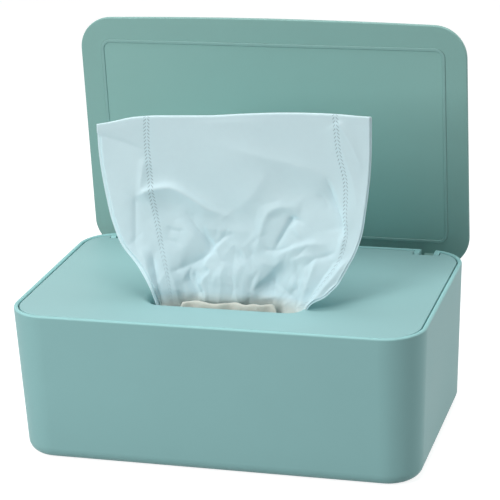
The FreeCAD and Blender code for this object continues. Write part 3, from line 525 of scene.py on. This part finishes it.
def next_surface(low, high, top_of_stack, thickness):
    """The middle surface of the next wipe: folded flat like the others, but with its upper layer
    drawn up into a thin fold that stands in the slot. The fold's height is a smooth bump along the
    width, made uneven by noise, by scallops and by two ruffles. Its two sides run together in a
    round crest, and sway to and fro along the width in two sine waves."""
    columns, flat_rows, tent_rows = 121, 20, 34
    x = np.linspace(low[0] + END_INSET, high[0] - END_INSET, columns)[None, :]
    z_low, z_high = low[2] + thickness / 2, top_of_stack - thickness / 2
    radius = (z_high - z_low) / 2
    fold = low[1] + radius + thickness / 2
    rise = blend_in(x, *RISE) * (1 - blend_in(x, *FALL))
    crest = high[2] + CREST_OVER - thickness / 2 - z_high
    uneven = 0.025 * (1 + soft_noise(x, x * 0, 5.0, 4))
    crest = crest * rise * (1 - uneven - 0.012 * (1 + np.sin(x / 1.6)))
    for place, width, lift in RUFFLES:
        crest = crest + lift * np.exp(-(((x - place) / width) ** 2))
    share = np.linspace(0, 1, flat_rows)[:, None]
    lower_y = high[1] - 0.6 + (fold - high[1] + 0.6) * share + 0 * x
    upper_y = fold + (STAND - FOOT_HALF - fold) * share + 0 * x
    turn = np.linspace(0, np.pi, FOLD_STEPS)[1:-1][:, None]
    turn_y = fold - radius * np.sin(turn) + 0 * x
    turn_z = (z_low + z_high) / 2 - radius * np.cos(turn) + 0 * x
    t = np.linspace(-1, 1, 2 * tent_rows + 1)[1:-1][:, None]
    up = 1 - np.abs(t)
    height = crest * np.sqrt(np.clip(1 - (1 - blend_in(up, 0, 1.0)) ** 1.6, 0, 1))
    sway = (1.0 * np.sin(x / 2.7 + 0.6) + 0.6 * np.sin(x / 1.45)) * blend_in(height, 8, 24)
    half = FOOT_HALF * (1 - up) ** 2 + 0.95 * np.sqrt(np.clip(1 - up**2, 0, 1))
    tent_y = STAND + np.sign(t) * half + sway + CREST_LEAN * blend_in(height, 10, 24) + 0 * x
    rest_y = STAND + FOOT_HALF + (high[1] - 3.6 - STAND - FOOT_HALF) * share + 0 * x
    wave = 0.08 * soft_noise(x + 0 * share, rest_y, 20.0, 12)
    y = np.concatenate([lower_y, turn_y, upper_y, tent_y, rest_y])
    lower_z, upper_z = z_low + 0 * lower_y, z_high + 0 * upper_y
    z = np.concatenate([lower_z, turn_z, upper_z, z_high + height, z_high - 0.08 + wave])
    return np.stack([x + 0 * y, y, z], -1)


# Finishes

# Satin plastic: strength and depth of its grain, and how strongly it mirrors
SATIN_GRAIN, SATIN_GRAIN_DEPTH, SATIN_SPECULAR = 0.16, 0.00006, 0.16
# The painted highlight along the tub's rim edge: where it starts, the height over which it comes in,
# and how much lighter
RIM_EDGE, EDGE_BLEND, EDGE_HIGHLIGHT = 69.1 * MM, 0.5 * MM, 1.2
# Fibres of the cloth: their turn on the sheet, and their scale along and across
FIBRES = ((0.35, (500, 4200, 1)), (-0.5, (600, 3800, 1)), (1.35, (450, 4600, 1)))
# Embossed bands: the dashes' pitch, their slant and half their share of the pitch, then the
# distance of the two rows from the band's middle, half a dash's reach across it, and how dark
# they are
DASH_PITCH, DASH_SLANT, DASH_SHARE = 2.1 * MM, 1.9 * MM, 0.19
DASH_ROW, DASH_REACH, DASH_DEPTH = 0.95 * MM, 0.6 * MM, 0.7
# Lengths from the sheet's lower end between which the painted shade on its foot fades out, and the
# painted light in the slot
SHADED_FOOT, SLOT_LIGHT = (9 * MM, 75 * MM), (12 * MM, 19 * MM)
# Colour of the painted light in the slot: a pale cream that lifts the shade there
SLOT_LIGHT_COLOUR = colour(222, 224, 210)
# How strong the painted shade on the drawn wipe's foot is
FOOT_TINT = 0.7
# Heights between which the next wipe turns to the colour of its crest
CREST_HEIGHTS = (60 * MM, 67 * MM)


def new_material(name):
    """An empty node material with its shader, a helper that adds nodes, and one that links them."""
    material = bpy.data.materials.new(name)
    material.use_nodes = True
    tree = material.node_tree
    tree.nodes.clear()
    output = tree.nodes.new("ShaderNodeOutputMaterial")
    shader = tree.nodes.new("ShaderNodeBsdfPrincipled")
    tree.links.new(shader.outputs[0], output.inputs["Surface"])

    def add(kind, inputs=None, **settings):
        node = tree.nodes.new(kind)
        for key, value in settings.items():
            setattr(node, key, value)
        for key, value in (inputs or {}).items():
            if isinstance(value, bpy.types.NodeSocket):
                tree.links.new(value, node.inputs[key])
            else:
                node.inputs[key].default_value = value
        return node

    def link(socket, key):
        tree.links.new(socket, shader.inputs[key])

    return material, shader, add, link


def object_place(add, scale=(1, 1, 1)):
    """The place in the object's own coordinates, scaled."""
    place = add("ShaderNodeTexCoord").outputs["Object"]
    return add("ShaderNodeMapping", {"Vector": place, "Scale": scale}).outputs["Vector"]


def noise(add, vector, scale, detail, roughness=0.5):
    """Clouds between zero and one. The scale is how many fit in one unit of the vector."""
    inputs = {"Vector": vector, "Scale": scale, "Detail": detail, "Roughness": roughness}
    return add("ShaderNodeTexNoise", inputs).outputs["Fac"]


def mapped(add, value, low, high, at=(0.0, 1.0)):
    """From low to high as the value goes between the two places, and level beyond them."""
    inputs = {"Value": value, "From Min": at[0], "From Max": at[1], "To Min": low, "To Max": high}
    return add("ShaderNodeMapRange", inputs).outputs["Result"]


def mixed(add, mask, first, second):
    """The mix of two colours by a mask. The first may come from another node."""
    if not isinstance(first, bpy.types.NodeSocket):
        first = (*first, 1)
    inputs = {"Factor": mask, "A": first, "B": (*second, 1)}
    return add("ShaderNodeMix", inputs, data_type="RGBA").outputs["Result"]


def bumped(add, height, strength, distance):
    """The normal of a surface with fine relief: how strongly it shows, and its depth in metres."""
    inputs = {"Height": height, "Strength": strength, "Distance": distance}
    return add("ShaderNodeBump", inputs).outputs["Normal"]


def shade(base, factor):
    """A colour made darker or lighter by a factor."""
    return tuple(channel * factor for channel in base)


def moulded_plastic(name, base, roughness, edge_height=None):
    """Satin moulded plastic: a fine spark-eroded grain as bump, faint clouds in the colour and in
    the roughness. Above edge_height, in metres, the colour is painted lighter as a painted highlight
    along the edge."""
    material, shader, add, link = new_material(name)
    place = object_place(add)
    clouds = noise(add, place, 38.0, 3.0)
    fine = noise(add, place, 2600.0, 2.0, 0.6)
    colours = mixed(add, clouds, shade(base, 0.975), shade(base, 1.025))
    if edge_height is not None:
        # painted highlight: above the edge height the colour turns lighter
        height = add("ShaderNodeSeparateXYZ", {"Vector": place}).outputs["Z"]
        painted_highlight = mapped(add, height, 0.0, 1.0, (edge_height, edge_height + EDGE_BLEND))
        colours = mixed(add, painted_highlight, colours, shade(base, EDGE_HIGHLIGHT))
    link(colours, "Base Color")
    link(mapped(add, clouds, roughness - 0.05, roughness + 0.05), "Roughness")
    link(bumped(add, fine, SATIN_GRAIN, SATIN_GRAIN_DEPTH), "Normal")
    shader.inputs["Specular IOR Level"].default_value = SATIN_SPECULAR
    return material


def seal_rubber(name, base):
    """Soft matt seal: close low bumps and a slightly blotched colour."""
    material, shader, add, link = new_material(name)
    place = object_place(add)
    blotch = noise(add, place, 220.0, 2.0)
    pores = add("ShaderNodeTexVoronoi", {"Vector": place, "Scale": 1900.0})
    link(mixed(add, blotch, shade(base, 0.93), shade(base, 1.05)), "Base Color")
    link(mapped(add, blotch, 0.62, 0.78), "Roughness")
    link(bumped(add, pores.outputs["Distance"], 0.25, 0.00005), "Normal")
    return material


def turned_steel(name, base):
    """Drawn pin wire: fine lines round the pin, from noise that is drawn out across its length."""
    material, shader, add, link = new_material(name)
    lines = noise(add, object_place(add, (9000, 60, 60)), 1.0, 3.0)
    link(mixed(add, lines, shade(base, 0.82), shade(base, 1.1)), "Base Color")
    link(mapped(add, lines, 0.24, 0.42), "Roughness")
    link(bumped(add, lines, 0.2, 0.00003), "Normal")
    shader.inputs["Metallic"].default_value = 1.0
    return material


def nonwoven(name, base, pressed_tint, foot_tint=0.0, crest=None):
    """Moist nonwoven cloth: crossing fibres and soft thick and thin places, and two embossed bands
    of slanted dashes in pairs, which follow the flat sheet through the UV map. Towards its foot the
    cloth is painted darker by foot_tint as painted shade, with a pale cream band of painted light in
    the slot, and higher up it turns to the crest's colour, where that is given."""
    material, shader, add, link = new_material(name)
    flat = add("ShaderNodeUVMap", uv_map="flat_sheet").outputs["UV"]

    def math(kind, first, second=0.0, third=0.0):
        return add("ShaderNodeMath", {0: first, 1: second, 2: third}, operation=kind).outputs[0]

    split = add("ShaderNodeSeparateXYZ", {"Vector": flat})
    across, length = split.outputs["X"], split.outputs["Y"]
    fibres = []
    for turn, scale in FIBRES:
        lay = add("ShaderNodeMapping", {"Vector": flat, "Rotation": (0, 0, turn), "Scale": scale})
        fibres.append(noise(add, lay.outputs["Vector"], 1.0, 2.0))
    felt = math("MAXIMUM", math("MAXIMUM", fibres[0], fibres[1]), fibres[2])
    clouds = noise(add, flat, 260.0, 3.0)
    dashes = []
    for share in BAND_SHARES:
        side = math("ABSOLUTE", math("SUBTRACT", across, share * FLAT_WIDTH * MM))
        wave = math("ADD", math("DIVIDE", length, DASH_PITCH), math("DIVIDE", side, DASH_SLANT))
        dash = math("COMPARE", math("FRACT", wave), 0.5, DASH_SHARE)
        dashes.append(math("MULTIPLY", dash, math("COMPARE", side, DASH_ROW, DASH_REACH)))
    emboss = math("MAXIMUM", dashes[0], dashes[1])
    mask = math("ADD", math("MULTIPLY", felt, 0.6), math("MULTIPLY", clouds, 0.4))
    shown = mixed(add, mask, shade(base, 0.96), shade(base, 1.03))
    shown = mixed(add, math("MULTIPLY", emboss, DASH_DEPTH), shown, pressed_tint)
    # painted shade: the cloth darkens towards its foot
    shown = mixed(add, mapped(add, length, foot_tint, 0.0, SHADED_FOOT), shown, shade(base, 0.7))
    # painted light: a pale cream band in the slot lifts the shade there
    shown = mixed(add, mapped(add, length, 0.9 * foot_tint, 0.0, SLOT_LIGHT), shown, SLOT_LIGHT_COLOUR)
    if crest is not None:
        height = add("ShaderNodeSeparateXYZ", {"Vector": object_place(add)}).outputs["Z"]
        shown = mixed(add, mapped(add, height, 0.0, 1.0, CREST_HEIGHTS), shown, crest)
    link(shown, "Base Color")
    link(mapped(add, clouds, 0.72, 0.88), "Roughness")
    raised = math("ADD", math("MULTIPLY", felt, 0.35), math("MULTIPLY", clouds, 0.3))
    relief = math("SUBTRACT", raised, math("MULTIPLY", emboss, 0.9))
    link(bumped(add, relief, 0.5, 0.00012), "Normal")
    shader.inputs["Subsurface Weight"].default_value = 0.35
    shader.inputs["Subsurface Radius"].default_value = (1.0, 1.0, 1.0)
    shader.inputs["Subsurface Scale"].default_value = 0.0015
    shader.inputs["Specular IOR Level"].default_value = 0.3
    return material


# Settings


class BoxFinish(bpy.types.PropertyGroup):
    """Colours of the moulded box and its lid."""

    tub: FloatVectorProperty(
        name="Tub", description="Colour of the tub", subtype="COLOR", default=colour(149, 196, 196)
    )
    cover: FloatVectorProperty(
        name="Cover",
        description="Colour of the slot cover",
        subtype="COLOR",
        default=colour(157, 198, 199),
    )
    lid: FloatVectorProperty(
        name="Lid", description="Colour of the lid", subtype="COLOR", default=colour(142, 184, 178)
    )
    seal: FloatVectorProperty(
        name="Seal",
        description="Colour of the lid's seal",
        subtype="COLOR",
        default=colour(138, 180, 175),
    )
    pin: FloatVectorProperty(
        name="Pins",
        description="Colour of the hinge pins",
        subtype="COLOR",
        default=colour(205, 208, 210),
    )
    roughness: FloatProperty(
        name="Roughness",
        description="Roughness of the moulded plastic",
        default=0.46,
        min=0.1,
        max=1.0,
    )


class WipeShape(bpy.types.PropertyGroup):
    """Sizes and colours of the wipes."""

    thickness: FloatProperty(
        name="Thickness",
        description="Thickness of one layer of the drawn wipe",
        unit="LENGTH",
        default=0.36 * MM,
    )
    layer_gap: FloatProperty(
        name="Layer gap",
        description="Distance between the middles of its two layers",
        unit="LENGTH",
        default=1.15 * MM,
    )
    rows: IntProperty(
        name="Rows", description="Points up the front of the drawn wipe", default=150, min=20
    )
    back_rows: IntProperty(
        name="Back rows", description="Points down its back", default=84, min=20
    )
    columns: IntProperty(
        name="Columns", description="Points across the drawn wipe", default=200, min=20
    )
    folded_thickness: FloatProperty(
        name="Folded thickness",
        description="Thickness of a layer in the stack",
        unit="LENGTH",
        default=0.62 * MM,
    )
    colour: FloatVectorProperty(
        name="Cloth",
        description="Colour of the drawn wipe",
        subtype="COLOR",
        default=colour(217, 247, 255),
    )
    pressed_colour: FloatVectorProperty(
        name="Embossing",
        description="Colour of the embossed dashes on the drawn wipe",
        subtype="COLOR",
        default=colour(150, 182, 192),
    )
    next_colour: FloatVectorProperty(
        name="Next wipe",
        description="Colour of the fold in the slot",
        subtype="COLOR",
        default=colour(206, 208, 198),
    )


class StageSettings(bpy.types.PropertyGroup):
    """Floor, lights and camera."""

    top: FloatProperty(
        name="Top light",
        description="Power of the soft light overhead",
        default=3.1,
        unit="POWER",
    )
    front: FloatProperty(
        name="Front light",
        description="Power of the low light at the front left",
        default=3.1,
        unit="POWER",
    )
    high: FloatProperty(
        name="High light",
        description="Power of the high light at the front left",
        default=3.75,
        unit="POWER",
    )
    side: FloatProperty(
        name="Side light",
        description="Power of the soft light at the right",
        default=2.3,
        unit="POWER",
    )
    sky: FloatProperty(
        name="Sky", description="Strength of the even light all round", default=0.2
    )
    lens: FloatProperty(name="Lens", description="Focal length", unit="CAMERA", default=149.26)


# Stage

# The floor: half its width, its drop below the part, its grey, and its glow to the camera
FLOOR_HALF, FLOOR_DROP, FLOOR_GREY, FLOOR_GLOW = 4.0, 0.2 * MM, 0.42, 0.86
# Lamps: name, setting with the power, width and place, and the point that they all face
LAMPS = (
    ("top_light", "top", 0.5, (0.0, 0.03, 0.80)),
    ("front_light", "front", 0.3, (-0.66, -0.86, 0.36)),
    ("high_light", "high", 0.4, (-0.40, -0.75, 0.72)),
    ("side_light", "side", 0.5, (0.95, 0.28, 0.30)),
)
LAMP_AIM = Vector((0, 0, 0.07))
# The camera: azimuth, height and roll in degrees, the point that it looks at, its distance from
# that, and the width of its sensor in millimetres
CAMERA_AZIMUTH, CAMERA_HEIGHT, CAMERA_ROLL = 16.26, 18.92, -2.22
CAMERA_AIM, CAMERA_DISTANCE = (0.00449, 0.0, 0.08564), 0.93979
CAMERA_SENSOR = 36.0


def white_floor():
    """A plain floor that takes the part's shadow and shows white to the camera, also in mirrors and
    through glass."""
    mesh = bpy.data.meshes.new("floor")
    half = FLOOR_HALF
    corners = [(-half, -half, 0), (half, -half, 0), (half, half, 0), (-half, half, 0)]
    mesh.from_pydata(corners, [], [(0, 1, 2, 3)])
    floor = link_object("floor", mesh)
    floor.location.z = -FLOOR_DROP
    material, shader, add, link = new_material("floor_white")
    seen = add("ShaderNodeLightPath").outputs
    reach = seen["Is Camera Ray"]
    for key in ("Is Glossy Ray", "Is Transmission Ray"):
        reach = add("ShaderNodeMath", {0: reach, 1: seen[key]}, operation="MAXIMUM").outputs[0]
    glow = add("ShaderNodeMath", {0: reach, 1: FLOOR_GLOW}, operation="MULTIPLY").outputs[0]
    shader.inputs["Base Color"].default_value = (FLOOR_GREY, FLOOR_GREY, FLOOR_GREY, 1)
    shader.inputs["Roughness"].default_value = 1.0
    shader.inputs["Specular IOR Level"].default_value = 0.0
    shader.inputs["Emission Color"].default_value = (1, 1, 1, 1)
    link(glow, "Emission Strength")
    mesh.materials.append(material)


def even_sky(strength):
    """Even light all round, and white where the camera or a mirror sees it."""
    world = bpy.data.worlds.new("studio")
    bpy.context.scene.world = world
    world.use_nodes = True
    nodes, links = world.node_tree.nodes, world.node_tree.links
    nodes.clear()
    output, background = nodes.new("ShaderNodeOutputWorld"), nodes.new("ShaderNodeBackground")
    seen, reach = nodes.new("ShaderNodeLightPath"), nodes.new("ShaderNodeMath")
    reach.operation = "MAXIMUM"
    links.new(seen.outputs["Is Camera Ray"], reach.inputs[0])
    links.new(seen.outputs["Is Glossy Ray"], reach.inputs[1])
    level = nodes.new("ShaderNodeMapRange")
    links.new(reach.outputs[0], level.inputs["Value"])
    level.inputs["To Min"].default_value = strength
    level.inputs["To Max"].default_value = 1.0
    links.new(level.outputs["Result"], background.inputs["Strength"])
    background.inputs["Color"].default_value = (1, 1, 1, 1)
    links.new(background.outputs[0], output.inputs["Surface"])


def soft_lamp(name, power, width, place):
    """A square lamp at a place, turned to face the part."""
    lamp = bpy.data.lights.new(name, "AREA")
    lamp.energy, lamp.size = power, width
    turn = (LAMP_AIM - place).to_track_quat("-Z", "Y").to_matrix().to_4x4()
    link_object(name, lamp).matrix_world = Matrix.Translation(place) @ turn


def photo_camera(focal_length):
    """The camera: its back axis from azimuth and height, and its two other axes turned by the
    roll."""
    lens = bpy.data.cameras.new("camera")
    lens.lens, lens.sensor_width = focal_length, CAMERA_SENSOR
    lens.clip_start, lens.clip_end = 0.01, 20.0
    camera = link_object("camera", lens)
    azimuth, height, roll = np.radians((CAMERA_AZIMUTH, CAMERA_HEIGHT, CAMERA_ROLL))
    level = np.cos(height)
    back = np.array([np.sin(azimuth) * level, -np.cos(azimuth) * level, np.sin(height)])
    right = np.array([np.cos(azimuth), np.sin(azimuth), 0.0])
    above = np.cross(back, right)
    matrix = np.eye(4)
    matrix[:3, 0] = right * np.cos(roll) + above * np.sin(roll)
    matrix[:3, 1] = above * np.cos(roll) - right * np.sin(roll)
    matrix[:3, 2] = back
    matrix[:3, 3] = np.array(CAMERA_AIM) + back * CAMERA_DISTANCE
    camera.matrix_world = Matrix(matrix.tolist())
    bpy.context.scene.camera = camera


# Operators


def stack_piece(node):
    """The name of the visible wipe that stands for a folded wipe's node."""
    return node.replace("folded", "stack")


class WIPES_OT_finish_box(bpy.types.Operator):
    """Give the tub, cover, lid, seal and hinge pins their finishes"""

    bl_idname = "wipes.finish_box"
    bl_label = "Finish the box"

    def execute(self, context):
        finish = context.scene.wipes_box
        rough = finish.roughness
        for node, material in (
            ("tub", moulded_plastic("tub_satin", finish.tub, rough, RIM_EDGE)),
            ("slot_cover", moulded_plastic("cover_satin", finish.cover, rough)),
            ("lid_shell", moulded_plastic("lid_satin", finish.lid, rough)),
            # painted light: the liner's colour is the lid's made a little lighter
            ("lid_liner", moulded_plastic("liner_satin", shade(finish.lid, 1.06), rough)),
            ("lid_seal", seal_rubber("lid_seal_rubber", finish.seal)),
            ("hinge_pin_right", turned_steel("pin_wire_right", finish.pin)),
            ("hinge_pin_left", turned_steel("pin_wire_left", finish.pin)),
        ):
            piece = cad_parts[node]
            piece.data.materials.clear()
            piece.data.materials.append(material)
        return {"FINISHED"}


class WIPES_OT_add_drawn_wipe(bpy.types.Operator):
    """Add the wipe that is drawn halfway out of the slot"""

    bl_idname = "wipes.add_drawn_wipe"
    bl_label = "Drawn wipe"

    def execute(self, context):
        shape = context.scene.wipes_cloth
        middle = drawn_surface(shape.rows, shape.back_rows, shape.columns, shape.layer_gap / MM)
        mesh = cloth_mesh("drawn_wipe", middle, shape.thickness / MM)
        cloth = nonwoven("drawn_cloth", shape.colour, shape.pressed_colour, FOOT_TINT)
        piece = add_piece("drawn_wipe", mesh, cloth, "pulled_wipe", "wipe_cloth", "wipe_drawn")
        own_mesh(piece)
        return {"FINISHED"}


class WIPES_OT_add_next_wipe(bpy.types.Operator):
    """Add the wipe whose fold stands ready in the slot"""

    bl_idname = "wipes.add_next_wipe"
    bl_label = "Next wipe"

    def execute(self, context):
        shape = context.scene.wipes_cloth
        thickness = shape.folded_thickness / MM
        low, high = (np.array(corner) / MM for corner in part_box("wipe_next"))
        stack_top = max(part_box(name)[1].z for name in STACK_NAMES) / MM
        middle = next_surface(low, high, stack_top + NEXT_LOFT, thickness)
        steps = np.linalg.norm(np.diff(middle[:, 0], axis=0), axis=-1)
        mesh = cloth_mesh("next_wipe", middle, thickness, np.concatenate([[0], np.cumsum(steps)]))
        pressed = shade(shape.colour, 0.8)
        cloth = nonwoven("next_cloth", shape.colour, pressed, crest=shape.next_colour)
        piece = add_piece("next_wipe", mesh, cloth, "box", "wipe_cloth", "wipe_next")
        return {"FINISHED"}


class WIPES_OT_add_stack(bpy.types.Operator):
    """Add the stack of folded wipes in the tub"""

    bl_idname = "wipes.add_stack"
    bl_label = "Stack of wipes"

    def execute(self, context):
        shape = context.scene.wipes_cloth
        cloth = nonwoven("stack_cloth", shape.colour, shade(shape.colour, 0.8))
        thickness = shape.folded_thickness / MM
        for number, node in enumerate(STACK_NAMES):
            low, high = (np.array(corner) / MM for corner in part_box(node))
            side = 1 if number % 2 == 0 else -1
            middle = folded_surface(low, high, side, thickness, number + 1)
            name = stack_piece(node)
            mesh = cloth_mesh(name, middle, thickness)
            piece = add_piece(name, mesh, cloth, "box", "wipe_cloth", node)
        return {"FINISHED"}


class WIPES_OT_add_stage(bpy.types.Operator):
    """Add the floor, the lights and the camera"""

    bl_idname = "wipes.add_stage"
    bl_label = "Stage"

    def execute(self, context):
        stage = context.scene.wipes_stage
        white_floor()
        even_sky(stage.sky)
        for name, setting, width, place in LAMPS:
            soft_lamp(name, getattr(stage, setting), width, Vector(place))
        photo_camera(stage.lens)
        context.scene.view_settings.view_transform = "Standard"
        return {"FINISHED"}


class WIPES_PT_panel(bpy.types.Panel):
    """The box's settings and pieces"""

    bl_label = "Wipes Box"
    bl_idname = "WIPES_PT_panel"
    bl_space_type = "VIEW_3D"
    bl_region_type = "UI"
    bl_category = "Wipes Box"

    def draw(self, context):
        scene = context.scene
        wipes = (WIPES_OT_add_stack, WIPES_OT_add_next_wipe, WIPES_OT_add_drawn_wipe)
        for title, group, operators in (
            ("Box", scene.wipes_box, (WIPES_OT_finish_box,)),
            ("Wipes", scene.wipes_cloth, wipes),
            ("Stage", scene.wipes_stage, (WIPES_OT_add_stage,)),
        ):
            box = self.layout.box()
            box.label(text=title)
            for key in group.__annotations__:
                box.prop(group, key)
            for operator in operators:
                box.operator(operator.bl_idname)


GROUPS = {"wipes_box": BoxFinish, "wipes_cloth": WipeShape, "wipes_stage": StageSettings}
CLASSES = (
    *GROUPS.values(),
    WIPES_OT_finish_box,
    WIPES_OT_add_stack,
    WIPES_OT_add_next_wipe,
    WIPES_OT_add_drawn_wipe,
    WIPES_OT_add_stage,
    WIPES_PT_panel,
)


def register():
    for item in CLASSES:
        bpy.utils.register_class(item)
    for key, group in GROUPS.items():
        setattr(bpy.types.Scene, key, PointerProperty(type=group))


def unregister():
    for key in GROUPS:
        delattr(bpy.types.Scene, key)
    for item in reversed(CLASSES):
        bpy.utils.unregister_class(item)


def main():
    register()
    bpy.ops.wipes.add_stage()
    bpy.ops.wipes.finish_box()
    bpy.ops.wipes.add_stack()
    bpy.ops.wipes.add_next_wipe()
    bpy.ops.wipes.add_drawn_wipe()


if __name__ == "__main__":
    main()
